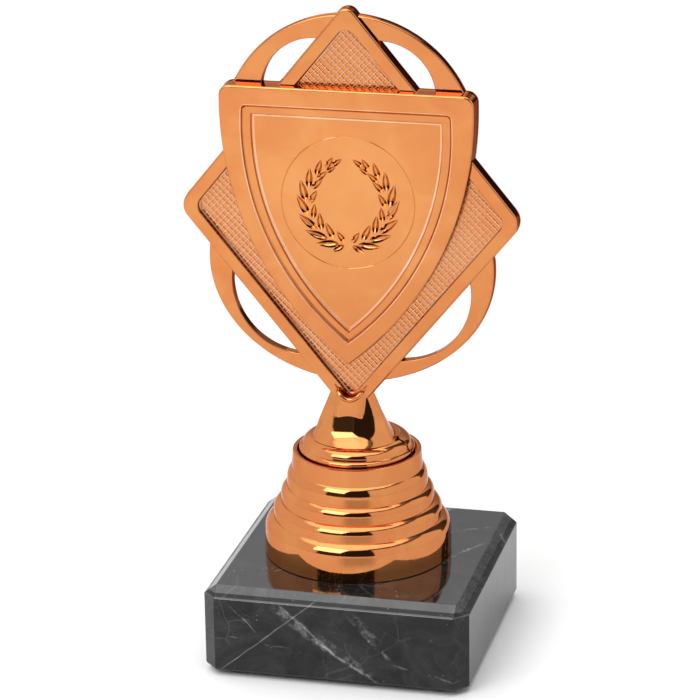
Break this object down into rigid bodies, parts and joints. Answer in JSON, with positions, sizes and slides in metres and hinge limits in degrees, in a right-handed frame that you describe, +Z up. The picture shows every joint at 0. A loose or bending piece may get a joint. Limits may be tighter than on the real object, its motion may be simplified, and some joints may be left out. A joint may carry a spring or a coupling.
{
  "type": "award trophy with relief figure on marble base",
  "caption": "Small award trophy: relief figure with shield, diamond and ring, bolted through a stepped riser to a marble block.",
  "frame": {"origin": "on the clamp bolt's axis, level with the undersides of the four base pads", "axes": "+Z up along the clamp bolt, -Y towards the front of the figure, +X to the viewer's right"},
  "size_m": [0.0624, 0.05, 0.1225],
  "materials": {
    "marble": "polished black marble with thin white veins",
    "pad_felt": "black felt pad",
    "bronze_plastic": "bronze metallised gloss",
    "zinc_steel": "zinc plated"
  },
  "bodies": {
    "root": {"marble_base": "marble", "base_pad_front_left": "pad_felt", "base_pad_front_right": "pad_felt", "base_pad_rear_left": "pad_felt", "base_pad_rear_right": "pad_felt", "riser": "bronze_plastic", "figure": "bronze_plastic", "clamp_bolt": "zinc_steel", "spring_washer": "zinc_steel", "flat_washer": "zinc_steel", "captive_nut": "zinc_steel"}
  },
  "joints": []
}
